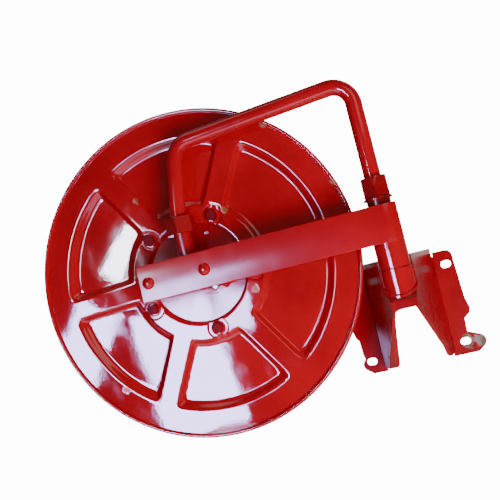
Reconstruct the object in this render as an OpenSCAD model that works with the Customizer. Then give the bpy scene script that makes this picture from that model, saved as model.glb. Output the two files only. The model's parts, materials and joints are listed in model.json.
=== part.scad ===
// Swinging fire hose reel.
// A pressed reel turns on an arm of flat bar, and the arm swings on a wall bracket.
// Frame: the wall is the plane y = 0 and the room is on its -Y side. The origin is the middle
// of the four wall slots. +Z is up. At rest the arm lies along the wall, towards -X.

/* [Wall bracket] */
// Distance between the wall slots, across
bolt_span_x = 168; // [150:1:210]
// Distance between the wall slots, up
bolt_span_z = 140; // [130:1:170]
// Width of a wall slot
slot_w = 13; // [9:0.5:15]
// Length of a wall slot, end to end
slot_l = 18; // [15:1:22]
// Thickness of the bracket's sheet
sheet_t = 5; // [3:0.5:6]
// Distance between the two folds at the wall
fold_span = 128; // [116:1:154]
// Height of the side webs above the middle of the slots
web_top = 104; // [98:1:125]
// How far the lower right ear reaches past the left one
ear_extra = 18; // [0:1:24]

/* [Swing pivot] */
// Outer diameter of the sleeve and the housing
tube_d = 50; // [44:1:60]
// Wall of the sleeve and the housing
tube_wall = 4; // [3:0.5:5]
// Diameter of the spindle in its bushes
spindle_d = 30; // [26:1:32]
// Bore that carries the water
water_bore = 20; // [15:1:20]
// Length of the swing sleeve
sleeve_len = 100; // [84:1:120]
// Length of the housing under the sleeve
housing_len = 60; // [56:1:72]

/* [Arm] */
// Height of the reel's axis above the middle of the slots
reel_z = 158; // [140:1:190]
// Width of the flat bar
strap_w = 60; // [50:1:72]
// Thickness of the flat bar
strap_t = 6; // [5:0.5:8]
// How far the flat bar runs past the reel's axis
strap_tail = 82; // [74:1:98]
// Gap from the back of the flat bar to the front disc
disc_gap = 58; // [56:1:70]
// Outer diameter of the water pipe
pipe_d = 26.9; // [24:0.1:32]
// Wall of the water pipe
pipe_wall = 2.6; // [2:0.1:3.5]
// Height of the pipe's top corner above the reel's axis
pipe_rise = 235; // [200:1:282]
// Slope of the pipe's top run, falling towards the reel
pipe_fall = 3.8; // [0:0.1:6]
// Lean of the pipe's leg at the reel
pipe_lean = 10.3; // [2:0.1:14]

/* [Reel] */
// Diameter of the front disc
disc_d = 560; // [466:1:672]
// Thickness of the discs' sheet
disc_t = 2; // [1:0.1:3]
// Depth of the pressed panels
panel_depth = 9; // [6:0.5:12]
// Width of the ribs between the panels
rib_w = 38; // [30:1:46]
// Distance between the two discs' sheets
drum_w = 118; // [98:1:142]
// Diameter of the drum's barrel
barrel_d = 224; // [186:1:270]
// Free space between the reel's sheet and the wall
wall_gap = 23; // [20:1:40]
// Free space from the front disc's edge to the pivot's axis
pivot_clear = 44; // [40:1:60]

/* [Hidden] */
$fn = 64;

red = "firebrick";
bronze = "goldenrod";
steel = "silver";
rubber = "dimgray";

eps = 0.01;
run_gap = 0.05;        // running clearance, on the radius
free_gap = 0.3;        // space left between parts that turn past each other
sweep_gap = 1.5;       // space the bracket leaves round the turning sleeve
far = 400;             // longer than any cut through the bracket

// --- places that follow from the driving sizes ---
tube_r = tube_d / 2;
tube_in_r = tube_r - tube_wall;
spindle_r = spindle_d / 2;
water_r = water_bore / 2;
pipe_r = pipe_d / 2;
disc_r = disc_d / 2;
barrel_r = barrel_d / 2;
fold_half = fold_span / 2;

reel_total_w = drum_w + 2 * disc_t;
pivot_y = -(disc_gap + reel_total_w + wall_gap - tube_r);
arm_reach = disc_r + pivot_clear;
strap_back_y = pivot_y - tube_r;
disc_front_y = strap_back_y + disc_gap;
disc_rear_y = disc_front_y + reel_total_w;

sleeve_top = reel_z + strap_w / 2;
sleeve_bottom = sleeve_top - sleeve_len;
washer_t = 2;
housing_top = sleeve_bottom - washer_t - run_gap;
housing_bottom = housing_top - housing_len;

// --- bracket: side view of the folded sheet ---
shelf_slope = 30;
nose_y = strap_back_y - 3 - sheet_t;
nose_drop = 14;
shelf_z = housing_bottom + 12;
nose_z = shelf_z - nose_drop;
foot_z = -bolt_span_z / 2 - 14;
foot_y = -45;
shelf_back_y = pivot_y + tube_r + 8;
tube_side = tube_r + 2;
ear_top = web_top - 9;
web_angle = atan((fold_half - tube_side) / -pivot_y);

function shelf_top(y) = shelf_z + (y - nose_y) * tan(shelf_slope);
function web_x(y) = fold_half + y * tan(web_angle);

// --- reel fasteners and hub ---
bolt_r = 5;
bolt_head_af = 17;
bolt_head_h = 7;
nut_h = 8;
washer_h = 1.6;
washer_r = 10;
hub_bolt_count = 5;
hub_bolt_phase = 61.4;
bolt_inset = 12;
window_inset = 16;
barrel_wall = 3;
bolt_circle_r = barrel_r - bolt_inset;
window_r = bolt_circle_r - window_inset;
plate_r = barrel_r - barrel_wall - 0.5;
plate_recess = 7;
plate_t = 5;
plate_out = disc_t + plate_recess;
rib_phase = 3;
rib_bars = 3;
rim_band = 52;
lip_r = 3.5;
rear_clear = 9;
rear_disc_r = arm_reach - fold_half - rear_clear;

shaft_r = 16;
bush_r = 20;
bush_len = 20;
hub_r = 26;
chamber_r = 18;
seal_wire = 1.6;
shaft_end_r = 12;
hub_front = plate_out;
hub_rear = reel_total_w - plate_out;
hub_mid = reel_total_w / 2;
port_r = 6;

// --- strap, casting and pipe ends ---
arm_bolt_x = [-67, 30];
foot_t = 8;
foot_half_h = strap_w / 2 - 4;
foot_left = -strap_tail + 3;
foot_right = 46;
pipe_plane = pivot_y - disc_front_y;
stub_r = water_r + 5;
thread_r = pipe_r + 3.55;
union_h = 28;
union_af = 2 * thread_r + 11;
union_bottom = reel_z + strap_w / 2 + 37;
union_top = union_bottom + union_h;
pipe_end_z = union_top - 10;
olive_h = 5;
nut_bore_r = pipe_r + 1.55;
pivot_nut_af = 2 * nut_bore_r + 10;
pivot_nut_h = 33;
neck_h = 9.5;
neck_r = tube_in_r - 2;
collar_h = 3.5;
collar_r = tube_r - 2;
pivot_nut_z = sleeve_top + neck_h + collar_h;
spigot_top = pivot_nut_z + 13;
bend_r = 34;
small_bend_r = 60;
lean_corner_z = union_top + 7;

// --- places along the pivot's axis, counted up from the housing's foot ---
thread_depth = 12;
seat_depth = 14;
socket_h = thread_depth + seat_depth;
tail_r = water_r + 2.5;
tail_z = housing_bottom + thread_depth + 1;
thread_bore_r = 12.1;
clip_z = housing_bottom + socket_h + 3;
clip_h = 2;
pivot_bush_h = 12;
lower_bush_z = clip_z + clip_h + 1;
upper_bush_z = housing_top - pivot_bush_h;
inlet_seal_z = [housing_bottom + thread_depth + 5, housing_bottom + thread_depth + 10];
inlet_seal_wire = 1.2;
inlet_seal_r = tail_r + free_gap + inlet_seal_wire;

// --- fixed shaft in the hub, and the casting's drain ---
shaft_bore_r = water_r - 1;
shaft_seal_z = [hub_front + bush_len + 5, hub_rear - bush_len - 5];
shaft_seal_r = chamber_r - free_gap - seal_wire;
shaft_washer_t = 2.5;
shaft_washer_depth = hub_rear + free_gap;
shaft_clip_depth = shaft_washer_depth + shaft_washer_t;
shaft_clip_t = 1.5;
drain_angle = 42;
drain_boss_r = 7;
drain_len = strap_w / 2 + 13;
drain_r = 4;
drain_depth = 10;

// --- hose outlet ---
outlet_r = 13;
outlet_bore_r = 7;
spigot_r = 9.5;
spigot_len = 34;
shoulder = 2;
elbow_r = barrel_r + outlet_r + 5;

// --- the pipe's line ---
lean_tangent = small_bend_r * tan(pipe_lean / 2);
turn_1 = 90 + pipe_fall;
turn_2 = 90 - pipe_fall - pipe_lean;
corner_rise = reel_z + pipe_rise - lean_corner_z;
corner_cos = cos(pipe_lean + pipe_fall);
leg_line = (corner_rise * cos(pipe_fall) - arm_reach * sin(pipe_fall)) / corner_cos;
top_line = (arm_reach * cos(pipe_lean) - corner_rise * sin(pipe_lean)) / corner_cos;
tangent_1 = bend_r * tan(turn_1 / 2);
tangent_2 = bend_r * tan(turn_2 / 2);

// the bends swell a little, and each straight run ends inside the bend's wall
bend_swell = 0.05;
lap = 1;

// each step is a straight length, then a turn towards -X, and the bend's radius
pipe_steps = [
  [reel_z + pipe_rise - spigot_top - tangent_1, turn_1, bend_r],
  [top_line - tangent_1 - tangent_2, turn_2, bend_r],
  [leg_line - tangent_2 - lean_tangent, pipe_lean, small_bend_r],
  [lean_corner_z - pipe_end_z - lean_tangent, 0, 0]
];

// ---------- helpers ----------
function arc(cx, cy, r, a0, a1, n = 6) =
  [for (i = [0 : n]) [cx + r * cos(a0 + (a1 - a0) * i / n), cy + r * sin(a0 + (a1 - a0) * i / n)]];

module tube(r_out, r_in, h) {
  difference() {
    cylinder(r = r_out, h = h);
    translate([0, 0, -1]) cylinder(r = r_in, h = h + 2);
  }
}

module hexagon(af, h) {
  rotate(30) cylinder(r = af / sqrt(3), h = h, $fn = 6);
}

module ring(r, wire) {
  rotate_extrude() translate([r, 0]) circle(wire, $fn = 24);
}

// at the pivot's axis, z as given
module at_pivot(z = 0) {
  translate([0, pivot_y, z]) children();
}

// on the reel's axis: local +Z runs towards the wall and 0 is the front disc's face
module on_reel(depth = 0) {
  translate([-arm_reach, disc_front_y + depth, reel_z]) rotate([-90, 0, 0]) children();
}

// copies round the reel's axis, counter-clockwise seen from the room
module round_reel(count, phase) {
  for (i = [0 : count - 1]) rotate(-phase - i * 360 / count) children();
}

// ---------- wall bracket ----------
// a flat plate of the sheet, seen from the side as a line from p0 to p1, [y, z]
module side_plate(p0, p1) {
  d = p1 - p0;
  translate([-far / 2, p0[0], p0[1]]) rotate([atan2(d[1], d[0]), 0, 0])
    cube([far, norm(d), sheet_t]);
}

// everything between the outer faces of the two webs
module between_webs(inset) {
  front_y = nose_y - 1;
  translate([0, 0, -far / 2]) linear_extrude(far) polygon([
    [web_x(0) - inset, 0], [web_x(front_y) - inset, front_y],
    [-web_x(front_y) + inset, front_y], [-web_x(0) + inset, 0]
  ]);
}

module web_silhouette() {
  translate([-far / 2, 0, 0]) rotate([90, 0, 90]) linear_extrude(far) polygon([
    [0, web_top], [pivot_y, web_top], [pivot_y, shelf_top(pivot_y)], [nose_y, shelf_z],
    [nose_y, nose_z], [foot_y, foot_z], [0, foot_z]
  ]);
}

// the arched cut that lets the supply pipe in, seen from the room
module arch_cut() {
  shift = 5;
  half_top = 25;
  half_foot = 40;
  corner = 13;
  foot_corner = 7;
  top = nose_z;
  translate([shift, 0, 0]) rotate([90, 0, 0]) linear_extrude(far) polygon(concat(
    arc(half_foot + foot_corner, foot_z + foot_corner, foot_corner, 270, 180),
    arc(half_top - corner, top - corner, corner, 0, 90),
    arc(corner - half_top, top - corner, corner, 90, 180),
    arc(-half_foot - foot_corner, foot_z + foot_corner, foot_corner, 0, -90)
  ));
}

// one ear on the wall, seen from the room, on the +X side: a waist between its two slots,
// and a lower end that reaches out by extra
module ear_outline(waist, extra) {
  bx = bolt_span_x / 2;
  bz = bolt_span_z / 2;
  corner = 12;
  edge = bx + 14;
  ear_edge = bx + 17 + extra;
  ear_low = -bz - 22;
  inner = fold_half - sheet_t;
  polygon(concat(
    [[inner, ear_top]],
    arc(edge - corner, ear_top - corner, corner, 90, 0),
    [[edge + 3, 5], [edge + 7, -12], [edge + 5, -22], [edge + 3 - waist, -30],
     [edge + 2 - waist, 16 - bz]],
    arc(ear_edge - corner, -bz - 4, corner, 60, -60),
    [[ear_edge - 16, ear_low], [inner, ear_low]]
  ));
}

module wall_slot() {
  dx = (slot_l - slot_w) / 2;
  translate([0, 1, 0]) rotate([90, 0, 0]) {
    for (s = [-dx, dx]) translate([s, 0, 0]) cylinder(d = slot_w, h = sheet_t + 2);
    translate([-dx, -slot_w / 2, 0]) cube([2 * dx, slot_w, sheet_t + 2]);
  }
}

module ears() {
  difference() {
    rotate([90, 0, 0]) linear_extrude(sheet_t) {
      ear_outline(9, ear_extra);
      mirror([1, 0]) ear_outline(3, 0);
    }
    for (x = [-1, 1]) for (z = [-1, 1])
      translate([x * bolt_span_x / 2, 0, z * bolt_span_z / 2]) wall_slot();
  }
}

// small cuts at the top of the two folds
module fold_reliefs() {
  relief_w = 5;
  relief_h = 7;
  for (s = [-1, 1])
    translate([s * (fold_half - relief_w / 2 + 1) - relief_w / 2, -sheet_t - 2, ear_top - relief_h])
      cube([relief_w, sheet_t + 3, far]);
}

module wall_bracket() {
  color(red) difference() {
    union() {
      ears();
      intersection() {
        web_silhouette();
        difference() {
          between_webs(0);
          between_webs(sheet_t);
        }
      }
      intersection() {
        between_webs(0);
        web_silhouette();
        difference() {
          union() {
            side_plate([nose_y, shelf_z - sheet_t],
                       [shelf_back_y, shelf_top(shelf_back_y) - sheet_t]);
            translate([-far / 2, nose_y, nose_z]) cube([far, sheet_t, nose_drop]);
            side_plate([nose_y, nose_z], [foot_y, foot_z]);
          }
          arch_cut();
        }
      }
    }
    fold_reliefs();
    at_pivot(housing_bottom - 1) cylinder(r = tube_r, h = far);
    at_pivot(housing_top - 1) cylinder(r = tube_r + sweep_gap, h = far);
  }
}

// ---------- swing pivot, fixed side ----------
module weld_bead() {
  bead = 3.5;
  intersection() {
    translate([-far / 2, nose_y, shelf_z]) rotate([shelf_slope, 0, 0]) cube([far, far, bead]);
    at_pivot(housing_bottom) tube(tube_r + bead, tube_r - eps, housing_len);
    translate([-far / 2, pivot_y - far - 1, 0]) cube([far, far, far]);
  }
}

module pivot_housing() {
  color(red) union() {
    at_pivot(housing_bottom) tube(tube_r, tube_in_r, housing_len);
    weld_bead();
  }
}

module pivot_bush(z) {
  color(bronze) at_pivot(z) tube(tube_in_r, spindle_r + run_gap, pivot_bush_h);
}

module lower_bush() {
  pivot_bush(lower_bush_z);
}

module upper_bush() {
  pivot_bush(upper_bush_z);
}

module inlet_socket() {
  color(bronze) difference() {
    at_pivot(housing_bottom) cylinder(r = tube_in_r, h = socket_h);
    at_pivot(housing_bottom - 1) cylinder(r = thread_bore_r, h = thread_depth + 1);
    at_pivot(housing_bottom + thread_depth) cylinder(r = tail_r + run_gap, h = far);
    for (z = inlet_seal_z) at_pivot(z - inlet_seal_wire)
      cylinder(r = inlet_seal_r + inlet_seal_wire, h = 2 * inlet_seal_wire);
  }
}

module inlet_seals() {
  color(rubber) for (z = inlet_seal_z) at_pivot(z) ring(inlet_seal_r, inlet_seal_wire);
}

// ---------- swing pivot, arm side ----------
module swing_sleeve() {
  color(red) at_pivot(sleeve_bottom) tube(tube_r, tube_in_r, sleeve_len);
}

module pivot_spindle() {
  color(steel) difference() {
    union() {
      at_pivot(tail_z) cylinder(r = tail_r, h = clip_z - tail_z);
      at_pivot(clip_z - 1) cylinder(r = spindle_r, h = sleeve_bottom - clip_z + 1);
      at_pivot(sleeve_bottom) cylinder(r = tube_in_r, h = sleeve_len);
      at_pivot(sleeve_top) cylinder(r = neck_r, h = neck_h);
      at_pivot(sleeve_top) cylinder(r = nut_bore_r, h = spigot_top - sleeve_top);
    }
    at_pivot(0) cylinder(r = water_r, h = far);
    at_pivot(clip_z) tube(spindle_r + 1, spindle_r - 1, clip_h);
  }
}

module thrust_washer() {
  color(bronze) at_pivot(sleeve_bottom - washer_t) tube(tube_r - 0.5, spindle_r, washer_t);
}

module spindle_clip() {
  clip_r = spindle_r + 3;
  color(steel) difference() {
    at_pivot(clip_z) tube(clip_r, spindle_r - 1, clip_h);
    translate([0, pivot_y - 3, clip_z - 1]) cube([clip_r + 1, 6, clip_h + 2]);
  }
}

module gland_washer() {
  color(red) at_pivot(sleeve_top + neck_h) tube(collar_r, nut_bore_r, collar_h);
}

module pivot_nut() {
  color(red) difference() {
    intersection() {
      at_pivot(pivot_nut_z) hexagon(pivot_nut_af, pivot_nut_h);
      at_pivot(pivot_nut_z) cylinder(r1 = pivot_nut_af / 2 + 6, r2 = pivot_nut_af / 2, h = pivot_nut_h);
    }
    at_pivot(pivot_nut_z - 1) cylinder(r = nut_bore_r, h = spigot_top + olive_h - pivot_nut_z + 1);
    at_pivot(pivot_nut_z) cylinder(r = pipe_r, h = far);
  }
}

module pivot_olive() {
  color(bronze) at_pivot(spigot_top) tube(nut_bore_r, pipe_r, olive_h);
}

// flat bar along the front, wrapped a little way round the sleeve
module strap_arm() {
  wrap_angle = 52;
  color(red) difference() {
    union() {
      translate([-arm_reach - strap_tail, strap_back_y - strap_t, reel_z - strap_w / 2])
        cube([arm_reach + strap_tail, strap_t, strap_w]);
      at_pivot(reel_z - strap_w / 2) rotate(-90) rotate_extrude(angle = wrap_angle)
        translate([tube_r, 0]) square([strap_t, strap_w]);
    }
    for (x = arm_bolt_x) arm_bolt_place(x, -strap_t - 1) cylinder(r = bolt_r, h = strap_t + 2);
  }
}

// ---------- water pipe ----------
module pipe_run(steps, i = 0) {
  step = steps[i];
  lap_in = i > 0 ? lap : 0;
  lap_out = i < len(steps) - 1 ? lap : 0;
  translate([0, 0, -lap_in]) tube(pipe_r, pipe_r - pipe_wall, step[0] + lap_in + lap_out);
  if (i < len(steps) - 1) {
    turn = step[1];
    bend = step[2];
    translate([0, 0, step[0]]) {
      translate([-bend, 0, 0]) rotate([90, 0, 0]) rotate_extrude(angle = turn)
        translate([bend, 0]) difference() {
          circle(pipe_r + bend_swell);
          circle(pipe_r - pipe_wall - bend_swell);
        }
      translate([bend * (cos(turn) - 1), 0, bend * sin(turn)]) rotate([0, -turn, 0])
        pipe_run(steps, i + 1);
    }
  }
}

module water_pipe() {
  color(red) at_pivot(spigot_top) pipe_run(pipe_steps);
}

// ---------- casting between arm and reel ----------
// a place on the stub's axis, under the pipe's leg
module at_stub(z) {
  translate([-arm_reach, pivot_y, z]) children();
}

// on the axis of an arm bolt, depth counted from the back of the flat bar
module arm_bolt_place(x, depth) {
  translate([-arm_reach + x, strap_back_y + depth, reel_z]) rotate([-90, 0, 0]) children();
}

module hub_union_nut() {
  color(red) difference() {
    at_stub(union_bottom) hexagon(union_af, union_h);
    at_stub(union_bottom - 1) cylinder(r = thread_r, h = pipe_end_z + olive_h - union_bottom + 1);
    at_stub(union_bottom) cylinder(r = pipe_r, h = far);
  }
}

module union_olive() {
  color(bronze) at_stub(pipe_end_z) tube(thread_r, pipe_r, olive_h);
}

module hub_inlet() {
  boss_r = 19;
  back = -disc_gap + foot_t;
  groove_half = seal_wire + 0.2;
  color(red) difference() {
    union() {
      translate([-arm_reach + foot_left, strap_back_y, reel_z - foot_half_h])
        cube([foot_right - foot_left, foot_t, 2 * foot_half_h]);
      on_reel(back) cylinder(r = boss_r, h = hub_front - free_gap - back);
      on_reel(0) cylinder(r = shaft_r, h = hub_rear);
      on_reel(0) cylinder(r = shaft_end_r, h = hub_rear + 7);
      at_stub(reel_z) cylinder(r = stub_r, h = pipe_end_z - reel_z);
      at_stub(union_bottom) cylinder(r = thread_r, h = pipe_end_z - union_bottom);
      at_drain(0) cylinder(r = drain_boss_r, h = drain_len);
    }
    at_stub(reel_z - 4) cylinder(r = water_r, h = far);
    on_reel(pipe_plane - 6) cylinder(r = shaft_bore_r, h = hub_mid - pipe_plane + 16);
    on_reel(hub_mid) rotate([90, 0, 0])
      translate([0, 0, -shaft_r - 1]) cylinder(r = port_r, h = 2 * shaft_r + 2);
    for (z = shaft_seal_z) on_reel(z - groove_half)
      tube(shaft_r + 1, shaft_seal_r - seal_wire, 2 * groove_half);
    on_reel(shaft_clip_depth) tube(shaft_end_r + 1, shaft_end_r - 1, shaft_clip_t);
    for (x = arm_bolt_x) arm_bolt_place(x, -1) cylinder(r = bolt_r, h = foot_t + 2);
    at_drain(drain_len - drain_depth) cylinder(r = drain_r, h = far);
    at_drain(0) cylinder(r = drain_r - 1.5, h = drain_len);
  }
}

// along the drain boss, which points down and towards the pivot
module at_drain(along) {
  on_reel(pipe_plane) rotate(drain_angle) rotate([0, 90, 0]) translate([0, 0, along]) children();
}

module drain_plug() {
  color(steel) union() {
    at_drain(drain_len - drain_depth) cylinder(r = drain_r, h = drain_depth + 1);
    at_drain(drain_len) hexagon(11, 7);
  }
}

// domed heads in front of the bar, plain shanks through bar and foot
module arm_bolts() {
  head_r = 10.5;
  head_h = 5.5;
  dome_r = (head_r * head_r + head_h * head_h) / (2 * head_h);
  shank_end = foot_t + washer_h + nut_h + 2;
  color(red) for (x = arm_bolt_x) {
    arm_bolt_place(x, -strap_t - 1) cylinder(r = bolt_r, h = strap_t + 1 + shank_end);
    arm_bolt_place(x, -strap_t) intersection() {
      translate([0, 0, -head_h + dome_r]) sphere(dome_r);
      translate([0, 0, -head_h]) cylinder(r = head_r, h = head_h);
    }
  }
}

module arm_washers() {
  color(steel) for (x = arm_bolt_x) arm_bolt_place(x, foot_t) tube(washer_r - 1, bolt_r, washer_h);
}

module arm_nuts() {
  color(steel) for (x = arm_bolt_x) arm_bolt_place(x, foot_t + washer_h) difference() {
    hexagon(bolt_head_af, nut_h);
    translate([0, 0, -1]) cylinder(r = bolt_r, h = nut_h + 2);
  }
}

module shaft_seals() {
  color(rubber) for (z = shaft_seal_z) on_reel(z) ring(shaft_seal_r, seal_wire);
}

module shaft_washer() {
  color(steel) on_reel(shaft_washer_depth) tube(bush_r, shaft_end_r, shaft_washer_t);
}

module shaft_clip() {
  clip_r = shaft_end_r + 4;
  color(steel) on_reel(shaft_clip_depth) difference() {
    tube(clip_r, shaft_end_r - 1, shaft_clip_t);
    translate([0, -3, -1]) cube([clip_r + 1, 6, shaft_clip_t + 2]);
  }
}

// ---------- reel ----------
// the six panels as flat shapes, drawn in by inset on every side
module panels(r_out, inset) {
  r_in = barrel_r + 4;
  difference() {
    circle(r_out - inset, $fn = 96);
    circle(r_in + inset);
    for (i = [0 : rib_bars - 1]) rotate(-rib_phase - i * 180 / rib_bars)
      square([2 * r_out + 2, rib_w + 2 * inset], center = true);
  }
}

// pressed side plate: ribs, rim band and hub ring at local 0, panels sunk behind them
module pressed_disc(r) {
  panel_r = r - rim_band;
  difference() {
    union() {
      linear_extrude(disc_t) difference() {
        circle(r - lip_r, $fn = 96);
        circle(window_r);
        panels(panel_r, 0);
      }
      linear_extrude(panel_depth + disc_t) difference() {
        panels(panel_r, 0);
        panels(panel_r, disc_t);
      }
      translate([0, 0, panel_depth]) linear_extrude(disc_t) panels(panel_r, disc_t);
      rotate_extrude($fn = 96) translate([r - lip_r, disc_t - lip_r]) circle(lip_r, $fn = 24);
    }
    round_reel(hub_bolt_count, hub_bolt_phase) translate([bolt_circle_r, 0, -1])
      cylinder(r = bolt_r, h = disc_t + 2);
  }
}

module front_disc() {
  color(red) on_reel(0) pressed_disc(disc_r);
}

module rear_disc() {
  color(red) on_reel(reel_total_w) rotate([180, 0, 0]) rotate(2 * hub_bolt_phase)
    pressed_disc(rear_disc_r);
}

// dished plate that closes one end of the barrel
module hub_plate() {
  difference() {
    translate([0, 0, disc_t]) cylinder(r = plate_r, h = plate_recess + plate_t);
    cylinder(r = window_r + 4, h = plate_out);
    cylinder(r = hub_r, h = far);
    round_reel(hub_bolt_count, hub_bolt_phase) translate([bolt_circle_r, 0, 0])
      cylinder(r = bolt_r, h = far);
  }
}

module front_hub_plate() {
  color(red) on_reel(0) hub_plate();
}

module rear_hub_plate() {
  color(red) on_reel(reel_total_w) rotate([180, 0, 0]) rotate(2 * hub_bolt_phase) hub_plate();
}

module drum_barrel() {
  color(red) difference() {
    on_reel(disc_t) tube(barrel_r, barrel_r - barrel_wall, drum_w);
    outlet_place() cylinder(r = outlet_r, h = far);
  }
}

// the hose outlet leaves the hub midway between two bolts
module outlet_place() {
  on_reel(hub_mid) rotate(-hub_bolt_phase - 180) rotate([0, 90, 0]) children();
}

// where the elbow turns, facing along the spigot
module spigot_place() {
  outlet_place() translate([0, 0, elbow_r]) rotate([90, 0, 0]) children();
}

module hub_body() {
  color(red) difference() {
    on_reel(hub_front) cylinder(r = hub_r, h = hub_rear - hub_front);
    on_reel(0) cylinder(r = chamber_r, h = reel_total_w);
    on_reel(0) cylinder(r = bush_r, h = hub_front + bush_len);
    on_reel(hub_rear - bush_len) cylinder(r = bush_r, h = far);
    outlet_place() cylinder(r = outlet_bore_r, h = hub_r + 2);
  }
}

module reel_bush(depth) {
  color(bronze) on_reel(depth) tube(bush_r, shaft_r + run_gap, bush_len);
}

module front_bush() {
  reel_bush(hub_front);
}

module rear_bush() {
  reel_bush(hub_rear - bush_len);
}

module hub_bolts() {
  length = reel_total_w + washer_h + nut_h + 2;
  color(red) on_reel(0) round_reel(hub_bolt_count, hub_bolt_phase) translate([bolt_circle_r, 0, 0]) {
    translate([0, 0, -1]) cylinder(r = bolt_r, h = length + 1);
    translate([0, 0, -bolt_head_h]) hexagon(bolt_head_af, bolt_head_h);
  }
}

module hub_washers() {
  color(steel) on_reel(reel_total_w) round_reel(hub_bolt_count, hub_bolt_phase)
    translate([bolt_circle_r, 0, 0]) tube(washer_r, bolt_r, washer_h);
}

module hub_nuts() {
  color(steel) on_reel(reel_total_w + washer_h) round_reel(hub_bolt_count, hub_bolt_phase)
    translate([bolt_circle_r, 0, 0]) difference() {
      hexagon(bolt_head_af, nut_h);
      translate([0, 0, -1]) cylinder(r = bolt_r, h = nut_h + 2);
    }
}

module hose_outlet() {
  color(bronze) difference() {
    union() {
      outlet_place() cylinder(r = outlet_r, h = elbow_r);
      spigot_place() sphere(outlet_r);
      spigot_place() cylinder(r = outlet_r, h = outlet_r + shoulder);
      spigot_place() cylinder(r = spigot_r, h = outlet_r + shoulder + spigot_len);
    }
    on_reel(0) cylinder(r = hub_r, h = reel_total_w);
    outlet_place() cylinder(r = outlet_bore_r, h = elbow_r);
    spigot_place() cylinder(r = outlet_bore_r, h = far);
    spigot_place() sphere(outlet_bore_r);
  }
}

module end_cap() {
  cap_t = 2;
  cap_h = 12;
  cap_r = hub_r + 8;
  color(red) on_reel(hub_rear) difference() {
    cylinder(r = cap_r, h = cap_h);
    translate([0, 0, -1]) cylinder(r = cap_r - cap_t, h = cap_h - cap_t + 1);
  }
}

wall_bracket();
pivot_housing();
lower_bush();
upper_bush();
inlet_socket();
inlet_seals();
swing_sleeve();
strap_arm();
pivot_spindle();
thrust_washer();
spindle_clip();
gland_washer();
pivot_nut();
pivot_olive();
water_pipe();
hub_union_nut();
union_olive();
hub_inlet();
drain_plug();
arm_bolts();
arm_washers();
arm_nuts();
shaft_seals();
shaft_washer();
shaft_clip();
front_disc();
rear_disc();
drum_barrel();
front_hub_plate();
rear_hub_plate();
hub_body();
front_bush();
rear_bush();
hub_bolts();
hub_washers();
hub_nuts();
hose_outlet();
end_cap();
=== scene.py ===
"""Looks of the swinging fire hose reel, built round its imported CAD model."""
import json

import bmesh
import bpy
import numpy as np
from mathutils import Matrix, Vector

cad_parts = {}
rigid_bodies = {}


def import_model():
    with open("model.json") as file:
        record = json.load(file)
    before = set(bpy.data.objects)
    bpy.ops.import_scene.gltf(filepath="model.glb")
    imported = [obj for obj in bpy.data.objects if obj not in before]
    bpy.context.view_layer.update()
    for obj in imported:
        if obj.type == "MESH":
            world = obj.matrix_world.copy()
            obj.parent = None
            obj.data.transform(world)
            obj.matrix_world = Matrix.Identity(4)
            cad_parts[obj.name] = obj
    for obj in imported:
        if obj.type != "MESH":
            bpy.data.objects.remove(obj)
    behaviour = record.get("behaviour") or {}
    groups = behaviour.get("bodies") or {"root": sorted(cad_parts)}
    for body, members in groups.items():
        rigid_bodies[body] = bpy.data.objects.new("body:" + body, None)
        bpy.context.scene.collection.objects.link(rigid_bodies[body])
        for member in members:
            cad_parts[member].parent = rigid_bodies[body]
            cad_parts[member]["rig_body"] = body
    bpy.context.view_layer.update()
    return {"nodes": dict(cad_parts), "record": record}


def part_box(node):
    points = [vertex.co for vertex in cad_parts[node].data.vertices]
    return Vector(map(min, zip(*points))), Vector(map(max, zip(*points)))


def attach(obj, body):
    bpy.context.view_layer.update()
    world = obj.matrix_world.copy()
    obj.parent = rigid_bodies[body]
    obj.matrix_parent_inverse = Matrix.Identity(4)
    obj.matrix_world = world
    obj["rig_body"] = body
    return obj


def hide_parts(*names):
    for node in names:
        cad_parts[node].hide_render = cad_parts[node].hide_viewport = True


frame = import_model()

MM = 0.001

# Sizes that the CAD's boxes do not give: lengths in metres, angles in radians

# the pressed discs
SHEET = 2 * MM              # thickness of the sheet
LIP_R = 3.5 * MM            # radius of the rolled rim
LIP_FROM, LIP_TO = 0.93, -0.5  # where the rolled rim starts and ends, in half turns
HUB_HOLE_R = 84 * MM        # hole in the middle
HOLE_TURN_R = 7 * MM        # radius with which the hole's edge is turned in
HUB_RING_R = 114 * MM       # outer radius of the ring round the hub
RIM_FLAT = 43 * MM          # from the disc's edge to the top of the outer slope
PRESS_DEPTH = 9 * MM        # how deep the panels are pressed
RIM_SLOPE = 20 * MM         # width of a panel's outer slope
RIB_SLOPE = 10 * MM         # width of the slopes beside a rib
HUB_SLOPE = 9 * MM          # width of the slope round the hub ring
CORNER_BLEND = 0.3          # how round a panel's corners are, as a share of a slope
RIB_COUNT = 6
RIB_FLAT = 29 * MM          # flat width of a rib
RIB_PHASE = np.radians(3.0)
BOLT_COUNT = 5
BOLT_CIRCLE_R = 100 * MM
BOLT_PHASE = np.radians(61.4)
DIMPLE_R = 14.5 * MM        # radius of the groove round a bolt
DIMPLE_HALF = 4.5 * MM      # half the groove's width
DIMPLE_DEPTH = 3.2 * MM
SLOPE_MARGIN = 2 * MM       # how far the outer slope's fine grid runs past its top
ROUND_STEPS = 600           # steps of the grid round a disc
HUB_STEPS, PANEL_STEPS, SLOPE_STEPS, RIM_STEPS, LIP_STEPS = 26, 22, 14, 5, 12  # and across it

# the flat bar
BAR_CORNER = 1.3 * MM       # rounding of the bar's long edges
WRAP_ANGLE = np.radians(52)  # how far the bar is wrapped round the sleeve
BAR_STEPS = 30
WRAP_STEPS = 16

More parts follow.
